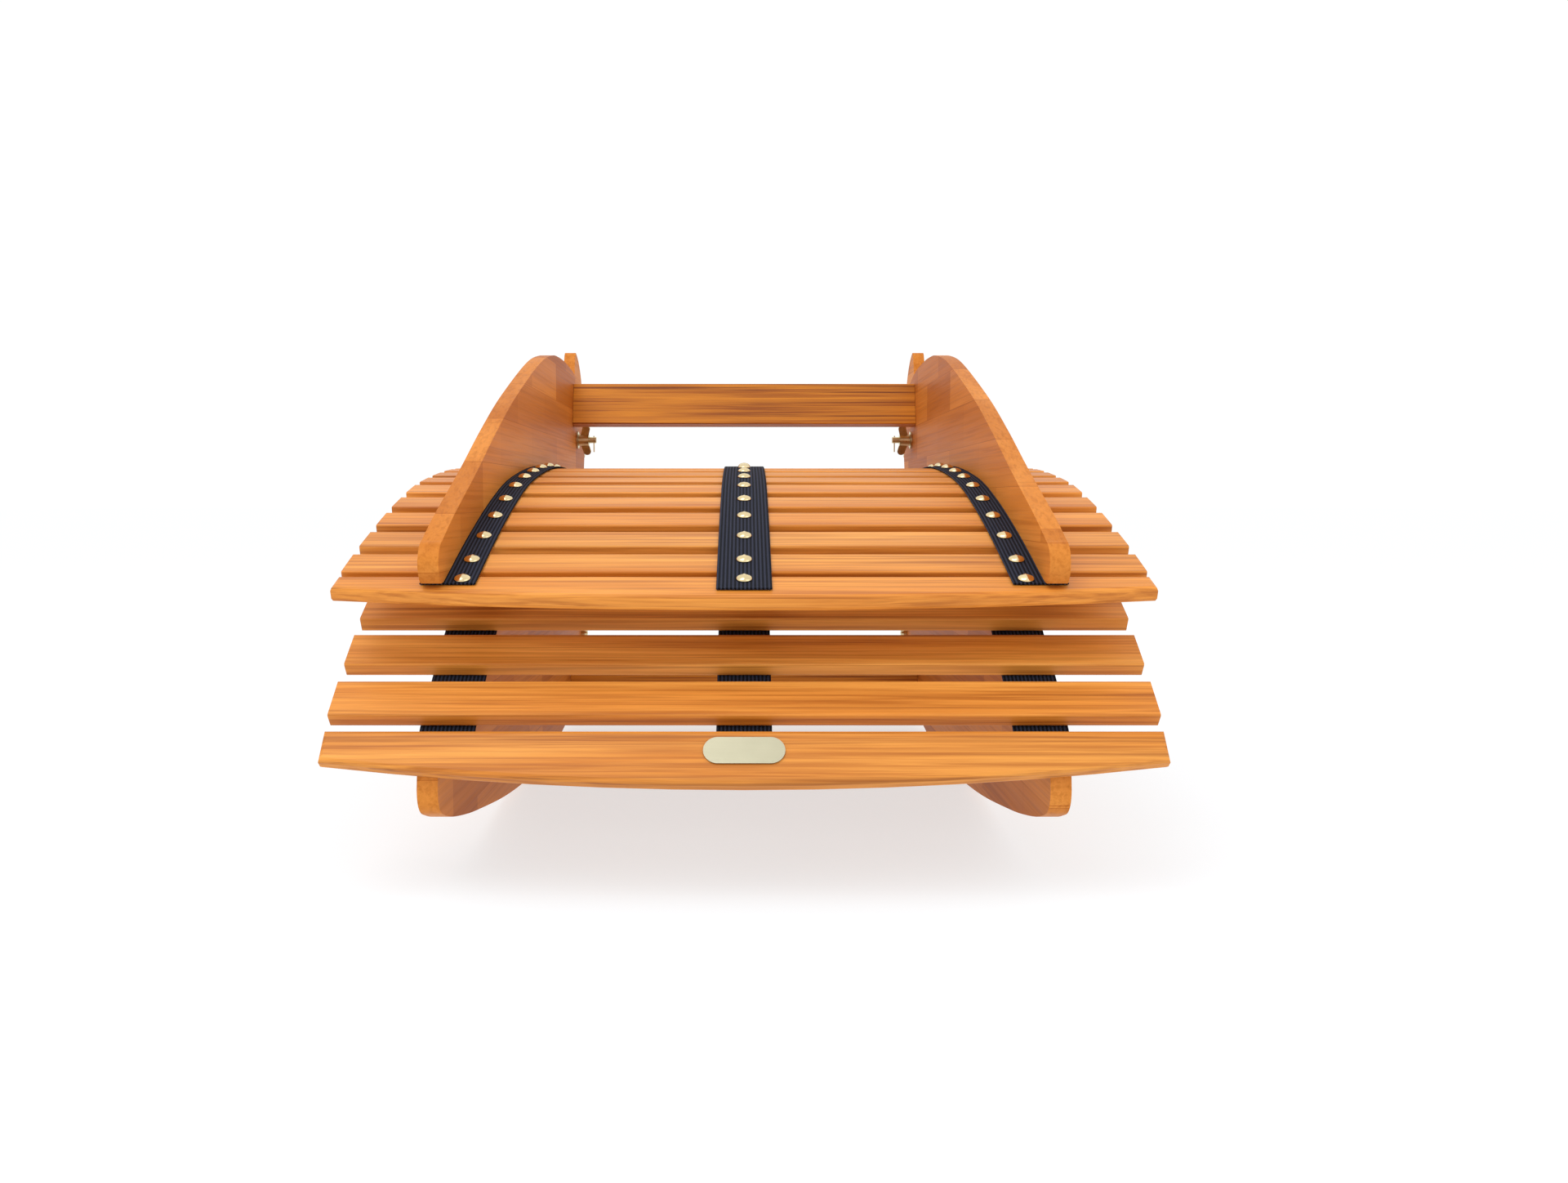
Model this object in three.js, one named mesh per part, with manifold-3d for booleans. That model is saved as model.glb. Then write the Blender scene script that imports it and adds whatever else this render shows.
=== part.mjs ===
// Folding slatted lounger, folded flat: a curved back section lies face down on a rocking seat
// section. Each section is a pair of side boards and a row of slats held by three webbing
// straps with dome nails, and one stretcher. A cheek board bolted outside each seat board
// carries the pivot, where a carriage bolt and a wing nut clamp the back.
//
// Units are millimetres and +Z is up. Pieces are laid out in the side view (y towards the rear,
// z above the floor) and the whole is then moved so the origin is at the bottom centre.
import * as THREE from "three";
import { mergeVertices } from "three/addons/utils/BufferGeometryUtils.js";
import Module from "manifold-3d";

const wasm = await Module();
wasm.setup();

// ---- driving dimensions -------------------------------------------------------------------
const SLAT_LENGTH = 600;
const SLAT_WIDTH = 34;
const SLAT_THICKNESS = 12;
const SLAT_EDGE_RADIUS = 1.5;
const BOARD_THICKNESS = 15;
const BOARD_INNER_X = 218;
const STRAP_WIDTH = 40.5;
const STRAP_THICKNESS = 1.4;
const STRAP_OUTER_X = 235.5;
const NAIL_RADIUS = 6.2;
const NAIL_HEIGHT = 3.6;
const NAIL_X = 205.6;
const STRETCHER_WIDTH = 53.8;
const STRETCHER_THICKNESS = 14.6;
const BOLT_RADIUS = 4;
const WING_RADIUS = 20;
const LABEL_LENGTH = 58;
const LABEL_WIDTH = 21;
const LABEL_THICKNESS = 1;
const FACET_FRONT = 1330; // flat under the seat boards, on which the lounger rests
const FACET_REAR = 1445;
const GAP = 0.3; // clearance kept between touching pieces
const STRAP_LIFT = 0.8; // clearance under a strap, which bends where the slats stay flat

const PIVOT = new THREE.Vector2(1680, 362);
const STOP_PIN = new THREE.Vector2(1783.5, 349); // just clear of the back, opened to 125 degrees
const BOARD_OUTER_X = BOARD_INNER_X + BOARD_THICKNESS;
const CHEEK_INNER_X = BOARD_OUTER_X + 1;
const CHEEK_OUTER_X = CHEEK_INNER_X + BOARD_THICKNESS;
const STRAP_SEAT = STRAP_LIFT + STRAP_THICKNESS + 0.4;
const SIDES = { left: -1, right: 1 };
const degrees = THREE.MathUtils.degToRad;
const vectors = (points) => points.map(([y, z]) => new THREE.Vector2(y, z));

// ---- the two sections ---------------------------------------------------------------------
// line: the upper faces of the slats, from the end slat's rear edge to the pivot end.
// strapSide: +1 where the straps lie on that face, -1 where they run underneath.
// endSlope, endDepth, endBow: the end slat's tilt, its width at the ends and its bowed front.
const sections = {
  back: {
    line: [
      [944.2, 227.4], [1013.1, 252.5], [1107.1, 281.5], [1202.5, 302.2], [1350.8, 316.6],
      [1498.8, 311.1], [1596.6, 295.3], [1662, 279.5],
    ],
    strapSide: 1, endSlope: degrees(20), endDepth: 22, endBow: 16.5,
    firstSlat: 24, pitch: 49.35, frontSpread: 0, slats: 15,
  },
  seat: {
    line: [
      [903.3, 119.5], [925.2, 139.2], [966.5, 170.1], [1009.5, 199], [1098.6, 244.1],
      [1195, 270.2], [1294.6, 278.3], [1444.2, 268.3], [1592.2, 244], [1660, 230.8],
    ],
    strapSide: -1, endSlope: degrees(50), endDepth: 25, endBow: 18,
    firstSlat: 29.5, pitch: 50, frontSpread: 1.7, slats: 16,
  },
};
for (const section of Object.values(sections)) {
  section.curve = new THREE.SplineCurve(vectors(section.line));
  section.curve.arcLengthDivisions = 400;
  section.length = section.curve.getLength();
}

// A point at arc length s, raised by up. Before the first point the line runs at endSlope.
function linePoint(section, s, up = 0) {
  const angle = lineAngle(section, s);
  const at = section.curve.getPointAt(THREE.MathUtils.clamp(s / section.length, 0, 1));
  if (s < 0) at.add(new THREE.Vector2(Math.cos(angle), Math.sin(angle)).multiplyScalar(s));
  return at.add(new THREE.Vector2(-Math.sin(angle), Math.cos(angle)).multiplyScalar(up));
}

function lineAngle(section, s) {
  if (s < 0) return section.endSlope;
  const along = section.curve.getTangentAt(THREE.MathUtils.clamp(s / section.length, 0, 1));
  return Math.atan2(along.y, along.x);
}

// A point at distance out from the face that carries the straps.
function strapPoint(section, s, out) {
  return linePoint(section, s, section.strapSide > 0 ? out : -SLAT_THICKNESS - out);
}

function slatStations(section) {
  return Array.from(
    { length: section.slats },
    (_, i) => section.firstSlat + i * section.pitch + section.frontSpread * Math.min(i, 2),
  );
}

// ---- geometry helpers ---------------------------------------------------------------------
// Turns a shape drawn in the side view (y, z) into a solid between two X values.
const sideToWorld = new THREE.Matrix4().makeBasis(
  new THREE.Vector3(0, 1, 0), new THREE.Vector3(0, 0, 1), new THREE.Vector3(1, 0, 0),
);
function acrossX(shape, fromX, toX, curveSegments = 10) {
  const geometry = new THREE.ExtrudeGeometry(shape, {
    depth: toX - fromX, bevelEnabled: false, curveSegments,
  });
  return geometry.applyMatrix4(sideToWorld).translate(fromX, 0, 0);
}

function roundedRect(width, height, radius) {
  const shape = new THREE.Shape();
  const [w, h] = [width / 2 - radius, height / 2 - radius];
  shape.absarc(w, -h, radius, -Math.PI / 2, 0);
  shape.absarc(w, h, radius, 0, Math.PI / 2);
  shape.absarc(-w, h, radius, Math.PI / 2, Math.PI);
  shape.absarc(-w, -h, radius, Math.PI, Math.PI * 1.5);
  return shape;
}

// A solid of revolution about X through (y, z), from [x, radius] pairs ending on the axis.
function turned(profile, y = 0, z = 0, segments = 16) {
  const points = profile.map(([x, radius]) => new THREE.Vector2(radius, x));
  return new THREE.LatheGeometry(points, segments).rotateZ(-Math.PI / 2).translate(0, y, z);
}

function asSolid(geometry) {
  const bare = geometry.clone();
  bare.deleteAttribute("normal");
  bare.deleteAttribute("uv");
  const merged = mergeVertices(bare, 1e-4);
  return new wasm.Manifold(new wasm.Mesh({
    numProp: 3,
    vertProperties: new Float32Array(merged.attributes.position.array),
    triVerts: new Uint32Array(merged.index.array),
  }));
}

function asGeometry(solid) {
  const mesh = solid.getMesh();
  const geometry = new THREE.BufferGeometry();
  geometry.setAttribute("position", new THREE.BufferAttribute(mesh.vertProperties, 3));
  geometry.setIndex(new THREE.BufferAttribute(mesh.triVerts, 1));
  return geometry;
}

function join(first, ...others) {
  return asGeometry(others.reduce((sum, part) => sum.add(asSolid(part)), asSolid(first)));
}

function withHole(shape, y, z, radius) {
  const hole = new THREE.Path();
  hole.absarc(y, z, radius, 0, 2 * Math.PI, true);
  shape.holes.push(hole);
  return shape;
}

// ---- materials ----------------------------------------------------------------------------
const slatWood = new THREE.MeshStandardMaterial({ color: 0xdb9a5b, roughness: 0.5 });
const boardWood = new THREE.MeshStandardMaterial({ color: 0xd49060, roughness: 0.5 });
const stretcherWood = new THREE.MeshStandardMaterial({ color: 0xa0621e, roughness: 0.55 });
const webbing = new THREE.MeshStandardMaterial({ color: 0x1e202a, roughness: 0.9 });
const brass = new THREE.MeshStandardMaterial({ color: 0x96916e, roughness: 0.3, metalness: 1 });
const labelMetal = new THREE.MeshStandardMaterial({
  color: 0xbeb9a0, roughness: 0.4, metalness: 0.9,
});

const assembly = new THREE.Group();
function place(name, geometry, material) {
  const mesh = new THREE.Mesh(geometry, material);
  mesh.name = name;
  assembly.add(mesh);
}

// ---- slats --------------------------------------------------------------------------------
function plainSlat(section, s) {
  const middle = linePoint(section, s, -SLAT_THICKNESS / 2);
  const profile = roundedRect(SLAT_WIDTH, SLAT_THICKNESS, SLAT_EDGE_RADIUS);
  return acrossX(profile, -SLAT_LENGTH / 2, SLAT_LENGTH / 2, 2)
    .rotateX(lineAngle(section, s))
    .translate(0, middle.x, middle.y);
}

// Drawn in plan: straight rear edge at y = 0, bowed and rounded front edge.
function endSlat(section) {
  const inset = 3;
  const half = SLAT_LENGTH / 2 - inset;
  const ends = -section.endDepth + inset;
  const plan = new THREE.Shape();
  plan.moveTo(half, -inset);
  plan.lineTo(-half, -inset);
  plan.lineTo(-half, ends);
  plan.quadraticCurveTo(0, ends - 2 * section.endBow, half, ends);
  const geometry = new THREE.ExtrudeGeometry(plan, {
    depth: SLAT_THICKNESS - 2 * inset, bevelThickness: inset, bevelSize: inset,
    bevelSegments: 2, curveSegments: 12,
  });
  return geometry
    .translate(0, 0, inset - SLAT_THICKNESS)
    .rotateX(section.endSlope)
    .translate(0, section.line[0][0], section.line[0][1]);
}

for (const [name, section] of Object.entries(sections)) {
  place(`${name}_end_slat`, endSlat(section), slatWood);
  slatStations(section).forEach((s, i) => {
    place(`${name}_slat_${String(i + 1).padStart(2, "0")}`, plainSlat(section, s), slatWood);
  });
}

// ---- webbing straps, each one piece with its dome nails -----------------------------------
function nailHead(section, x, s) {
  const profile = [[0, 0], [NAIL_RADIUS, 0], [NAIL_RADIUS * 0.7, NAIL_HEIGHT * 0.7], [0, NAIL_HEIGHT]];
  const points = profile.map(([radius, height]) => new THREE.Vector2(radius, height));
  const geometry = new THREE.LatheGeometry(points, 7);
  const at = strapPoint(section, s, STRAP_LIFT + STRAP_THICKNESS / 2);
  const outward = (section.strapSide * Math.PI) / 2;
  return geometry.rotateX(outward + lineAngle(section, s)).translate(x, at.x, at.y);
}

function strap(section, middleX, nailX, reach) {
  const steps = 36;
  const step = (section.length + reach - 3) / steps;
  const stations = Array.from({ length: steps + 1 }, (_, i) => -reach + i * step);
  const near = stations.map((s) => strapPoint(section, s, STRAP_LIFT));
  const far = stations.map((s) => strapPoint(section, s, STRAP_LIFT + STRAP_THICKNESS));
  const shape = new THREE.Shape([...near, ...far.reverse()]);
  const band = acrossX(shape, middleX - STRAP_WIDTH / 2, middleX + STRAP_WIDTH / 2);
  const nails = [-12, ...slatStations(section)].map((s) => nailHead(section, nailX, s));
  return join(band, ...nails);
}

for (const [name, section] of Object.entries(sections)) {
  const sideX = STRAP_OUTER_X - STRAP_WIDTH / 2;
  place(`${name}_strap_middle`, strap(section, 0, 0, section.endDepth + 10), webbing);
  for (const [side, sign] of Object.entries(SIDES)) {
    const geometry = strap(section, sign * sideX, sign * NAIL_X, section.endDepth - 1);
    place(`${name}_strap_${side}`, geometry, webbing);
  }
}

// ---- boards -------------------------------------------------------------------------------
// Edge of a board that bears on its straps, from front to rear.
function bearingEdge(section, fromS, toS, steps = 28) {
  return Array.from({ length: steps + 1 }, (_, i) => (
    strapPoint(section, fromS + ((toS - fromS) * i) / steps, STRAP_SEAT)
  ));
}

const BACK_END_RADIUS = 77;
const BACK_NOSE = new THREE.Vector2(928, 237.2);
const BACK_RIDGE = vectors([
  [1655.5, 445], [1614.7, 449], [1565.7, 451.2], [1520.2, 451.1], [1468.2, 447.2],
  [1380.7, 429.4], [1233.1, 382], [1138.3, 345.1], [1054, 308.7], [963.8, 271.8], [924.5, 253.8],
]);

function backBoardShape() {
  const section = sections.back;
  const shape = new THREE.Shape();
  shape.setFromPoints(bearingEdge(section, -18, section.length - 22));
  shape.absarc(PIVOT.x, PIVOT.y, BACK_END_RADIUS, degrees(-100), degrees(84), false);
  shape.splineThru(BACK_RIDGE);
  shape.absarc(BACK_NOSE.x, BACK_NOSE.y, 16.8, degrees(110), degrees(238), false);
  return shape;
}

const CHEEK_BOLTS = { lower: new THREE.Vector2(1712, 106), upper: new THREE.Vector2(1695, 160) };

function drilled(geometry, fromX, toX, centres) {
  const radius = BOLT_RADIUS + GAP;
  const drills = centres.map((at) => (
    turned([[fromX - 1, 0], [fromX - 1, radius], [toX + 1, radius], [toX + 1, 0]], at.x, at.y)
  ));
  return asGeometry(drills.reduce((rest, drill) => rest.subtract(asSolid(drill)), asSolid(geometry)));
}

function seatBoardShape() {
  const section = sections.seat;
  const shape = new THREE.Shape();
  shape.setFromPoints(bearingEdge(section, -22, section.length));
  shape.quadraticCurveTo(1733, 196, 1733, 130);
  shape.quadraticCurveTo(1733, 20, 1560, 12);
  shape.quadraticCurveTo(1500, 6, FACET_REAR, 0);
  shape.lineTo(FACET_FRONT, 0);
  shape.splineThru(vectors([
    [1240.8, 5.6], [1141.9, 15.2], [1030.8, 30.6], [983, 38.6], [940, 47.5], [914, 55.5],
  ]));
  shape.quadraticCurveTo(898, 61, 898, 77);
  return shape;
}

function cheekShape() {
  const shape = new THREE.Shape();
  shape.moveTo(1667.5, 70);
  shape.absarc(PIVOT.x, PIVOT.y, 72, degrees(260), degrees(90), true);
  shape.quadraticCurveTo(1755, 432, 1781.6, 456.6);
  shape.quadraticCurveTo(1788, 486, 1798.5, 488.2);
  shape.quadraticCurveTo(1836, 480, 1856.5, 451.7);
  shape.quadraticCurveTo(1872, 400, 1860, 300);
  shape.lineTo(1838, 90);
  shape.quadraticCurveTo(1832, 42, 1790, 42);
  shape.lineTo(1700, 42);
  shape.quadraticCurveTo(1668, 42, 1667.5, 70);
  return shape;
}

// A solid between two distances from the middle plane, on the left or the right.
const onSide = (sign, inner, outer) => (sign > 0 ? [inner, outer] : [-outer, -inner]);

for (const [side, sign] of Object.entries(SIDES)) {
  const fixings = Object.values(CHEEK_BOLTS);
  const board = (name, shape, inner, outer, centres) => {
    const [fromX, toX] = onSide(sign, inner, outer);
    const geometry = drilled(acrossX(shape, fromX, toX), fromX, toX, centres);
    place(`${name}_${side}`, geometry, boardWood);
  };
  board("back_board", backBoardShape(), BOARD_INNER_X, BOARD_OUTER_X, [PIVOT]);
  board("seat_board", seatBoardShape(), BOARD_INNER_X, BOARD_OUTER_X, fixings);
  board("cheek_board", cheekShape(), CHEEK_INNER_X, CHEEK_OUTER_X, [PIVOT, ...fixings]);
}

function stretcher(y, z, lean) {
  const half = BOARD_INNER_X - GAP;
  const profile = roundedRect(STRETCHER_THICKNESS, STRETCHER_WIDTH, SLAT_EDGE_RADIUS);
  return acrossX(profile, -half, half, 2).rotateX(-lean).translate(0, y, z);
}
place("back_stretcher", stretcher(1649.9, 404.6, degrees(16)), stretcherWood);
place("seat_stretcher", stretcher(1603.5, 61, 0), stretcherWood);

// ---- pivot and fixings, drawn on the right-hand side --------------------------------------
function pivotBolt() {
  const head = CHEEK_OUTER_X + GAP;
  const bolt = turned([
    [193, 0], [193, BOLT_RADIUS], [head, BOLT_RADIUS], [head, 10], [head + 2, 8.5],
    [head + 4.5, 4], [head + 5, 0],
  ], PIVOT.x, PIVOT.y);
  const splitPin = new THREE.CylinderGeometry(0.8, 0.8, 21, 8)
    .rotateX(Math.PI / 2)
    .translate(196, PIVOT.x, PIVOT.y - 5);
  return join(bolt, splitPin);
}

function ring(from, to, radius) {
  const shape = new THREE.Shape();
  shape.absarc(PIVOT.x, PIVOT.y, radius, 0, 2 * Math.PI);
  return acrossX(withHole(shape, PIVOT.x, PIVOT.y, BOLT_RADIUS + GAP), from, to, 16);
}

function wingNut() {
  const wing = new THREE.Shape();
  wing.moveTo(5, 203);
  wing.lineTo(WING_RADIUS - 5, 200.5);
  wing.absarc(WING_RADIUS - 5, 205.5, 5, -Math.PI / 2, Math.PI / 2);
  wing.lineTo(5, 214);
  const upright = new THREE.Matrix4().makeBasis(
    new THREE.Vector3(0, 0, 1), new THREE.Vector3(1, 0, 0), new THREE.Vector3(0, 1, 0),
  );
  const blade = new THREE.ExtrudeGeometry(wing, { depth: 2.4, bevelEnabled: false, curveSegments: 6 })
    .translate(0, 0, -1.2)
    .applyMatrix4(upright);
  const other = blade.clone().rotateX(Math.PI);
  const at = (geometry) => geometry.rotateX(degrees(20)).translate(0, PIVOT.x, PIVOT.y);
  return join(ring(202.5, 215.5, 7.5), at(blade), at(other));
}

function cheekBolt(at) {
  const head = CHEEK_OUTER_X + GAP;
  const inner = BOARD_INNER_X - GAP;
  return turned([
    [inner - 8, 0], [inner - 7, 4], [inner - 4, 6.5], [inner, 6.5], [inner, BOLT_RADIUS],
    [head, BOLT_RADIUS], [head, 8], [head + 2, 7], [head + 3.5, 3], [head + 3.8, 0],
  ], at.x, at.y, 12);
}

function stopPin() {
  const end = CHEEK_INNER_X - GAP;
  return turned([[221, 0], [221, 6], [end, 6], [end, 0]], STOP_PIN.x, STOP_PIN.y);
}

for (const [side, sign] of Object.entries(SIDES)) {
  const mirrored = (geometry) => (
    sign > 0 ? geometry : asGeometry(asSolid(geometry).mirror([1, 0, 0]))
  );
  place(`pivot_bolt_${side}`, mirrored(pivotBolt()), brass);
  place(`pivot_washer_${side}`, mirrored(ring(215.9, 217.7, 11)), brass);
  place(`wing_nut_${side}`, mirrored(wingNut()), brass);
  place(`stop_pin_${side}`, mirrored(stopPin()), brass);
  for (const [level, at] of Object.entries(CHEEK_BOLTS)) {
    place(`cheek_bolt_${level}_${side}`, mirrored(cheekBolt(at)), brass);
  }
}

// ---- label plate, on the seat's end slat --------------------------------------------------
function label() {
  const shape = roundedRect(LABEL_LENGTH, LABEL_WIDTH, LABEL_WIDTH / 2 - 0.01);
  const geometry = new THREE.ExtrudeGeometry(shape, {
    depth: LABEL_THICKNESS, bevelEnabled: false, curveSegments: 10,
  });
  const section = sections.seat;
  return geometry
    .translate(0, -17, GAP)
    .rotateX(section.endSlope)
    .translate(0, section.line[0][0], section.line[0][1]);
}
place("label_plate", label(), labelMetal);

// ---- origin at the bottom centre ----------------------------------------------------------
assembly.updateMatrixWorld(true);
const box = new THREE.Box3().setFromObject(assembly, true);
const middle = box.getCenter(new THREE.Vector3());
assembly.position.set(-middle.x, -middle.y, -box.min.z);

const model = new THREE.Group();
model.add(assembly);
export default model;
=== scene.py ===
# Folded slatted lounger: materials, webbing straps with dome nails, floor, light and camera
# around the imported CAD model. Metres, in the CAD frame.
import math
import bmesh
import bpy
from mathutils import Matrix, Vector


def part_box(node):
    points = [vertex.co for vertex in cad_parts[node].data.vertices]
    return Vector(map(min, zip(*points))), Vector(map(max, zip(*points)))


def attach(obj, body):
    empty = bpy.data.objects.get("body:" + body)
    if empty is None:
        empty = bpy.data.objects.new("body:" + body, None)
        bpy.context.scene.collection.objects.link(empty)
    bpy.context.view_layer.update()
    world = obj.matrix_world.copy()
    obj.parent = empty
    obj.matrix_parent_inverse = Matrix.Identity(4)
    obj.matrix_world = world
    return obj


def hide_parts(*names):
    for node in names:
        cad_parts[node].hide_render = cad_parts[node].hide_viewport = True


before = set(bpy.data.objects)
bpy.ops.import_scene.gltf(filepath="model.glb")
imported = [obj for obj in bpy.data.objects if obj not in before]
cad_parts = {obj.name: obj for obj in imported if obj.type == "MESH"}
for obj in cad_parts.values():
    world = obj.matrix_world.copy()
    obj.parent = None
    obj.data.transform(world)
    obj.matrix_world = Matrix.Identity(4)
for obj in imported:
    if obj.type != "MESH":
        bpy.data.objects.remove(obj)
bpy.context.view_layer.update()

# Rear edge of each section's end slat (y, z), its slope, and its depth at the ends.
END_SLATS = {
    "back": (-0.42685, 0.2274, math.radians(20), 0.022),
    "seat": (-0.46775, 0.1195, math.radians(50), 0.025),
}
SLATS = {"back": 15, "seat": 16}
SLAT_THICKNESS = 0.012

STRAP_WIDTH = 0.0405
STRAP_THICKNESS = 0.0014
STRAP_LIFT = 0.0008  # from the slats' faces to the webbing
STRAP_OUTER_X = 0.2355  # outer edge of the side straps
STRAP_TAIL = 0.016  # past the centre of the last slat
STRAP_EDGE_INSET = 0.002  # where a strap leaves the end slat, in front of its rear edge
MIDDLE_STRAP_EXTRA = 0.006  # the end slats are deeper in the middle
SIDE_STRAP_TRIM = 0.003
STEPS_PER_SLAT = 8
# Cross-section with rounded selvedges, in half widths and half thicknesses.
STRAP_PROFILE = [
    (-1, -0.5), (-1, 0.5), (-0.97, 1), (-0.5, 1), (0, 1), (0.5, 1), (0.97, 1),
    (1, 0.5), (1, -0.5), (0.97, -1), (0.5, -1), (0, -1), (-0.5, -1), (-0.97, -1),
]

NAIL_X = 0.2056
NAIL_RADIUS = 0.0062
NAIL_HEIGHT = 0.0038
NAIL_SIDES, NAIL_LEVELS = 24, 6
NAIL_DENT = 0.16  # how far the four panels are pressed in
END_NAIL_INSET = 0.012  # in front of the end slat's rear edge

# Wood figure: noise cells per metre, along the grain and across it.
BANDS, PORES, STREAKS, VEINS = (1.6, 28), (9, 420), (1.5, 150), (4.0, 300)
PORE_TINT = (0.70, 0.60, 0.48, 1)
VEIN_TINT = (0.66, 0.54, 0.40, 1)
STREAK_TINT = (0.34, 0.22, 0.12, 1)
GRAIN_X, GRAIN_Y = 0, 1

RIB_PITCH, WEFT_PITCH = 0.0029, 0.0019

FLOOR_COLOUR, FLOOR_GLOW = (0.33, 0.355, 0.375, 1), 0.66
WORLD_STRENGTH = 1.02
EYE = (0, -1.37105, 0.2815)
PITCH_DOWN = 4  # degrees
LENS, SENSOR, SHIFT_X = 29.38, 36, 0.0254

WHITE, BLACK = (1, 1, 1, 1), (0, 0, 0, 1)


# ---- materials -----------------------------------------------------------------------------


def linear(r, g, b):
    """sRGB 0-255 to the linear colour that shader sockets hold."""
    return tuple((c / 255 / 12.92) if c <= 10 else ((c / 255 + 0.055) / 1.055) ** 2.4
                 for c in (r, g, b)) + (1.0,)


def scaled(colour, factor):
    return tuple(c * factor for c in colour[:3]) + (1.0,)


class Tree:
    """Short calls for one material's nodes."""

    # A Mix node has its sockets once per data type under one name, so these go by place.
    MIX_A, MIX_B, MIX_RESULT = 6, 7, 2

    def __init__(self, name):
        self.material = bpy.data.materials.new(name)
        self.material.use_nodes = True
        self.nodes = self.material.node_tree.nodes
        self.links = self.material.node_tree.links
        self.bsdf = self.nodes["Principled BSDF"]

    def put(self, socket, value):
        if isinstance(value, bpy.types.NodeSocket):
            self.links.new(value, socket)
        else:
            socket.default_value = value

    def shade(self, **values):
        for name, value in values.items():
            self.put(self.bsdf.inputs[name.replace("_", " ")], value)

    def coords(self, scale, offset=(0, 0, 0)):
        node = self.nodes.new("ShaderNodeMapping")
        place = self.nodes.new("ShaderNodeTexCoord").outputs["Object"]
        self.links.new(place, node.inputs["Vector"])
        node.inputs["Scale"].default_value = scale
        node.inputs["Location"].default_value = offset
        return node.outputs["Vector"]

    def split(self, vector):
        node = self.nodes.new("ShaderNodeSeparateXYZ")
        self.links.new(vector, node.inputs[0])
        return node.outputs

    def noise(self, vector, detail, rough=0.5, distort=0.0):
        """One noise cell per unit of the vector."""
        node = self.nodes.new("ShaderNodeTexNoise")
        self.links.new(vector, node.inputs["Vector"])
        values = {"Scale": 1.0, "Detail": detail, "Roughness": rough, "Distortion": distort}
        for name, value in values.items():
            node.inputs[name].default_value = value
        return node.outputs["Fac"]

    def ramp(self, factor, *stops):
        node = self.nodes.new("ShaderNodeValToRGB")
        self.links.new(factor, node.inputs["Fac"])
        while len(node.color_ramp.elements) < len(stops):
            node.color_ramp.elements.new(0.5)
        for element, (at, colour) in zip(node.color_ramp.elements, stops):
            element.position, element.color = at, colour
        return node.outputs["Color"]

    def mix(self, factor, a, b, blend="MIX"):
        node = self.nodes.new("ShaderNodeMix")
        node.data_type, node.blend_type = "RGBA", blend
        self.put(node.inputs["Factor"], factor)
        self.put(node.inputs[self.MIX_A], a)
        self.put(node.inputs[self.MIX_B], b)
        return node.outputs[self.MIX_RESULT]

    def math(self, operation, *values):
        node = self.nodes.new("ShaderNodeMath")
        node.operation = operation
        for socket, value in zip(node.inputs, values):
            self.put(socket, value)
        return node.outputs[0]

    def bump(self, height, strength, distance):
        node = self.nodes.new("ShaderNodeBump")
        self.put(node.inputs["Height"], height)
        node.inputs["Strength"].default_value = strength
        node.inputs["Distance"].default_value = distance
        self.put(self.bsdf.inputs["Normal"], node.outputs["Normal"])


def grain(tree, base, dark, along, seed, streaks, sheen=0.28, pore=0.6):
    """Wood figure running along one axis: broad bands, fine pores, veins and dark streaks."""
    def figure(cells, offset, *settings):
        slow, fast = cells
        scale = [slow if axis == along else fast for axis in range(3)]
        return tree.noise(tree.coords(scale, offset), *settings)

    shift = (seed * 3.7, seed * 1.9, seed * 2.3)
    bands = figure(BANDS, shift, 5, 0.55, 0.6)
    pores = figure(PORES, shift, 4, 0.6)
    lines = figure(STREAKS, shift[::-1], 4, 0.6, 0.5)
    veins = figure(VEINS, shift, 3, 0.55, 0.4)

    colour = tree.mix(tree.ramp(bands, (0.32, BLACK), (0.68, WHITE)), dark, base)
    for strength, tint in (
        (pore, tree.ramp(pores, (0.34, PORE_TINT), (0.6, WHITE))),
        (min(1.0, 0.3 + streaks), tree.ramp(veins, (0.36, VEIN_TINT), (0.52, WHITE))),
        (streaks, tree.ramp(lines, (0.56, WHITE), (0.66, STREAK_TINT))),
    ):
        colour = tree.mix(strength, colour, tint, "MULTIPLY")
    tree.bump(pores, strength=0.22, distance=0.0006)
    tree.shade(
        Roughness=tree.math("MULTIPLY_ADD", pores, 0.22, 0.34),
        Specular_IOR_Level=sheen,
    )
    return colour


def slat_wood(name, seed):
    """Plain slats, each a little lighter or darker than the next."""
    tree = Tree(name)
    tone = 0.93 + 0.12 * ((seed * 0.618) % 1)
    base = scaled(linear(240, 164, 74), tone)
    dark = scaled(linear(212, 128, 42), tone)
    tree.shade(Base_Color=grain(tree, base, dark, GRAIN_X, seed, streaks=0.45))
    return tree.material


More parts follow.
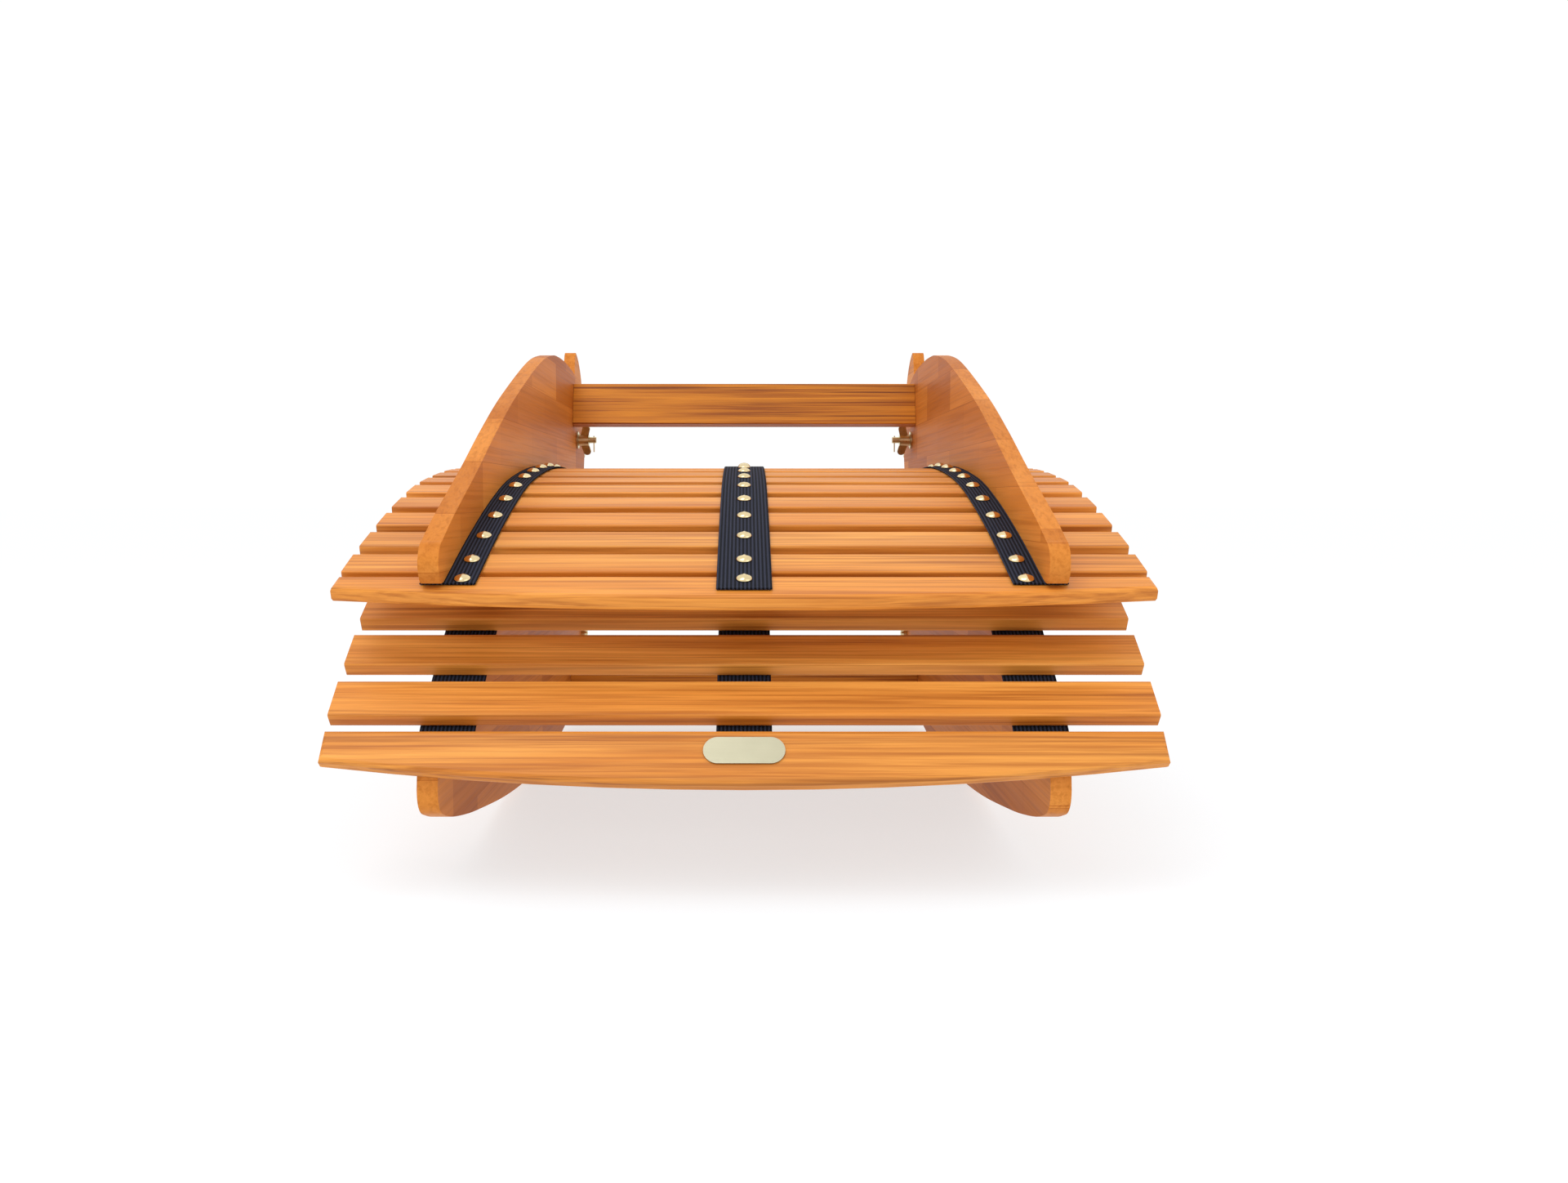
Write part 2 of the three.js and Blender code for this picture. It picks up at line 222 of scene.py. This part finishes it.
def board_wood(name, seed):
    """Finger-jointed laminate: staves of different tones with thin joints, grain along y."""
    tree = Tree(name)
    colour = grain(tree, linear(226, 146, 66), linear(206, 124, 46), GRAIN_Y, seed,
                   streaks=0.1, sheen=0.06, pore=0.25)
    place = tree.split(tree.coords((1, 1, 1), (0, seed * 0.13, seed * 0.021)))
    join = tree.nodes.new("ShaderNodeCombineXYZ")
    tree.links.new(place["Y"], join.inputs["X"])
    tree.links.new(place["Z"], join.inputs["Y"])
    staves = tree.nodes.new("ShaderNodeTexBrick")
    tree.links.new(join.outputs[0], staves.inputs["Vector"])
    values = {
        "Color1": WHITE,
        "Color2": (0.62, 0.47, 0.32, 1),
        "Mortar": (0.62, 0.46, 0.32, 1),
        "Scale": 1.0,
        "Mortar Size": 0.0002,
        "Brick Width": 0.17,
        "Row Height": 0.042,
        "Bias": -0.1,
    }
    for key, value in values.items():
        staves.inputs[key].default_value = value
    tree.shade(Base_Color=tree.mix(1.0, colour, staves.outputs["Color"], "MULTIPLY"))
    return tree.material


def dark_wood(name, seed):
    """Stretchers: darker wood, strongly streaked."""
    tree = Tree(name)
    base, dark = linear(236, 154, 40), linear(184, 108, 18)
    tree.shade(Base_Color=grain(tree, base, dark, GRAIN_X, seed, streaks=1.0))
    return tree.material


def webbing():
    """Near-black webbing: lengthwise ribs, crossed by a fine weft, with painted shade
    darkening its grooves.
    """
    tree = Tree("webbing")
    place = tree.split(tree.coords((1, 1, 1)))
    ribs = tree.math("SINE", tree.math("MULTIPLY", place["X"], 2 * math.pi / RIB_PITCH))
    run = tree.math("ADD", place["Y"], place["Z"])
    weft = tree.math("SINE", tree.math("MULTIPLY", run, 2 * math.pi / WEFT_PITCH))
    height = tree.math("ADD", ribs, tree.math("MULTIPLY", weft, 0.45))
    fuzz = tree.noise(tree.coords((900, 900, 900)), 3)
    height = tree.math("ADD", height, tree.math("MULTIPLY", fuzz, 0.6))
    # The colour follows the bump height: painted shade makes the grooves near black, and the
    # rib tops keep the webbing's dark navy.
    level = tree.math("MULTIPLY_ADD", height, 0.25, 0.42)
    tree.shade(
        Base_Color=tree.ramp(level, (0.22, linear(4, 4, 7)), (0.9, linear(62, 66, 84))),
        Roughness=0.85,
        Specular_IOR_Level=0.12,
    )
    tree.bump(height, strength=0.75, distance=0.0005)
    return tree.material


def metal(name, colour, rough, brushed=None, cloudy=0.78):
    """Worn metal: slightly cloudy, with fine scratches along one axis where brushed."""
    tree = Tree(name)
    cloud = tree.noise(tree.coords((90, 90, 90)), 4)
    if brushed is None:
        scale = (400, 400, 400)
    else:
        scale = [12 if axis == brushed else 2600 for axis in range(3)]
    scratch = tree.noise(tree.coords(scale), 3)
    tree.shade(
        Base_Color=tree.ramp(cloud, (0.3, scaled(colour, cloudy)), (0.7, colour)),
        Metallic=1.0,
        Roughness=tree.math("MULTIPLY_ADD", scratch, 0.22, rough),
    )
    tree.bump(scratch, strength=0.12, distance=0.0002)
    return tree.material


WEBBING = webbing()
NAIL_BRASS = metal("nail_brass", linear(244, 222, 172), 0.1)
BRASS = metal("aged_brass", linear(226, 212, 168), 0.2)
LABEL = metal("label_nickel", linear(176, 172, 148), 0.3, brushed=GRAIN_X, cloudy=0.96)

# ---- CAD nodes: keep the shapes, replace the flat colours ----------------------------------


def dress(node, material):
    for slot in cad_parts[node].material_slots:
        slot.material = material


for index, name in enumerate(sorted(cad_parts)):
    if "slat" in name:
        dress(name, slat_wood("wood_" + name, index + 1))
    elif "stretcher" in name:
        dress(name, dark_wood("wood_" + name, index + 1))
    elif "board" in name:
        dress(name, board_wood("wood_" + name, index + 1))
    elif name == "label_plate":
        dress(name, LABEL)
    elif "strap" not in name:
        dress(name, BRASS)

# ---- straps and nails ----------------------------------------------------------------------


def direction(points, i):
    """Unit vector along a path at one of its points."""
    return (points[min(i + 1, len(points) - 1)] - points[max(i - 1, 0)]).normalized()


def quarter_turn(vector):
    return Vector((-vector.y, vector.x))


def slat_centre(section, number):
    low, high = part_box(f"{section}_slat_{number:02d}")
    return Vector(((low[1] + high[1]) / 2, (low[2] + high[2]) / 2))


def face_points(section, reach):
    """(point, normal) along the face that carries the straps, from the front end to the rear.

    The first three points are on the end slat, the second of them under its nail. Then comes
    one per plain slat, and the strap's tail.
    """
    side = 1 if section == "back" else -1
    y, z, slope, _ = END_SLATS[section]
    along = Vector((math.cos(slope), math.sin(slope)))
    up = quarter_turn(along)
    lift = 0 if side > 0 else -SLAT_THICKNESS
    start = Vector((y, z)) + up * lift
    insets = (reach, END_NAIL_INSET, STRAP_EDGE_INSET)
    points = [(start - along * inset, up * side) for inset in insets]
    centres = [slat_centre(section, n) for n in range(1, SLATS[section] + 1)]
    for i, centre in enumerate(centres):
        normal = quarter_turn(direction(centres, i)) * side
        points.append((centre + normal * SLAT_THICKNESS / 2, normal))
    last, normal = points[-1]
    run = -quarter_turn(normal) * side
    points.append((last + run * STRAP_TAIL, normal))
    return points


def catmull(a, b, c, d, t):
    return 0.5 * ((2 * b) + (c - a) * t + (2 * a - 5 * b + 4 * c - d) * t * t
                  + (3 * b - a - 3 * c + d) * t ** 3)


def smoothed(points):
    """A smooth path through the points."""
    row = [points[0], *points, points[-1]]
    path = [
        catmull(*row[i:i + 4], step / STEPS_PER_SLAT)
        for i in range(len(row) - 3) for step in range(STEPS_PER_SLAT)
    ]
    return path + [points[-1]]


def bridge(bm, near, far):
    """A band of faces between two rings of vertices."""
    for k in range(len(near)):
        after = (k + 1) % len(near)
        bm.faces.new((near[k], near[after], far[after], far[k]))


def finish_mesh(name, bm, material, body):
    mesh = bpy.data.meshes.new(name)
    bmesh.ops.recalc_face_normals(bm, faces=bm.faces)
    bm.to_mesh(mesh)
    bm.free()
    for face in mesh.polygons:
        face.use_smooth = True
    mesh.materials.append(material)
    piece = bpy.data.objects.new(name, mesh)
    bpy.context.scene.collection.objects.link(piece)
    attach(piece, body)
    return piece


def band(name, body, centre_x, points):
    """Webbing stretched over the slats, and its length along the middle."""
    lift = STRAP_LIFT + STRAP_THICKNESS / 2
    middle = smoothed([point + normal * lift for point, normal in points])
    bm = bmesh.new()
    rings = []
    half_w, half_t = STRAP_WIDTH / 2, STRAP_THICKNESS / 2
    for i, at in enumerate(middle):
        up = quarter_turn(direction(middle, i))
        rings.append([
            bm.verts.new((centre_x + half_w * u, *(at + up * half_t * v)))
            for u, v in STRAP_PROFILE
        ])
    for near, far in zip(rings, rings[1:]):
        bridge(bm, near, far)
    bm.faces.new(rings[0])
    bm.faces.new(rings[-1][::-1])
    length = sum((b - a).length for a, b in zip(middle, middle[1:]))
    return finish_mesh(name, bm, WEBBING, body), length


def nails(name, body, x, points):
    """Dome heads, each pressed into four shallow panels."""
    bm = bmesh.new()
    for point, normal in points:
        base = point + normal * (STRAP_LIFT + STRAP_THICKNESS)
        run = -quarter_turn(normal)
        previous = None
        for level in range(NAIL_LEVELS):
            angle = math.pi / 2 * level / NAIL_LEVELS
            radius = NAIL_RADIUS * math.cos(angle)
            ring = []
            for k in range(NAIL_SIDES):
                turn = 2 * math.pi * k / NAIL_SIDES
                dent = 1 - NAIL_DENT * math.sin(2 * angle) * abs(math.sin(2 * turn))
                height = NAIL_HEIGHT * math.sin(angle) * dent
                yz = base + run * radius * math.sin(turn) + normal * height
                ring.append(bm.verts.new((x + radius * math.cos(turn), yz.x, yz.y)))
            if previous:
                bridge(bm, previous, ring)
            else:
                bm.faces.new(ring)
            previous = ring
        top = base + normal * NAIL_HEIGHT
        tip = bm.verts.new((x, top.x, top.y))
        for k in range(NAIL_SIDES):
            bm.faces.new((previous[k], previous[(k + 1) % NAIL_SIDES], tip))
    return finish_mesh(name, bm, NAIL_BRASS, body)


for section in ("back", "seat"):
    depth = END_SLATS[section][3]
    for side, sign in (("left", -1), ("middle", 0), ("right", 1)):
        reach = depth + MIDDLE_STRAP_EXTRA if sign == 0 else depth - SIDE_STRAP_TRIM
        points = face_points(section, reach)
        centre_x = sign * (STRAP_OUTER_X - STRAP_WIDTH / 2)
        node = f"{section}_strap_{side}"
        piece, length = band(f"webbing_{section}_{side}", section, centre_x, points)
        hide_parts(node)
        nailed = [points[1], *points[3:-1]]
        heads = nails(f"nails_{section}_{side}", section, sign * NAIL_X, nailed)

# ---- floor, light and camera ---------------------------------------------------------------
floor_mesh = bpy.data.meshes.new("floor")
floor_corners = [(-30, -30, 0), (30, -30, 0), (30, 60, 0), (-30, 60, 0)]
floor_mesh.from_pydata(floor_corners, [], [(0, 1, 2, 3)])
floor = bpy.data.objects.new("floor", floor_mesh)
bpy.context.scene.collection.objects.link(floor)
paper = Tree("floor_paper")
paper.shade(Base_Color=FLOOR_COLOUR, Roughness=1.0, Specular_IOR_Level=0.0,
            Emission_Color=WHITE, Emission_Strength=FLOOR_GLOW)
floor.data.materials.append(paper.material)

world = bpy.data.worlds.new("studio")
bpy.context.scene.world = world
world.use_nodes = True
background = world.node_tree.nodes["Background"]
background.inputs["Color"].default_value = WHITE
background.inputs["Strength"].default_value = WORLD_STRENGTH


def area(name, place, aim, size, energy):
    light = bpy.data.lights.new(name, "AREA")
    light.size, light.energy = size, energy
    lamp = bpy.data.objects.new(name, light)
    lamp.location = place
    lamp.rotation_euler = (Vector(aim) - Vector(place)).to_track_quat("-Z", "Y").to_euler()
    bpy.context.scene.collection.objects.link(lamp)


area("key", place=(-1.0, -1.4, 2.6), aim=(0, 0, 0.2), size=1.8, energy=26)
area("fill", place=(1.8, -1.8, 1.4), aim=(0, -0.2, 0.2), size=1.6, energy=6)

camera = bpy.data.cameras.new("camera")
camera.sensor_width, camera.lens = SENSOR, LENS
camera.shift_x = SHIFT_X
camera.dof.use_dof = False
camera.clip_start, camera.clip_end = 0.05, 200
eye = bpy.data.objects.new("camera", camera)
eye.location = EYE
eye.rotation_euler = (math.radians(90 - PITCH_DOWN), 0, 0)
bpy.context.scene.collection.objects.link(eye)
bpy.context.scene.camera = eye
bpy.context.scene.view_settings.view_transform = "Standard"
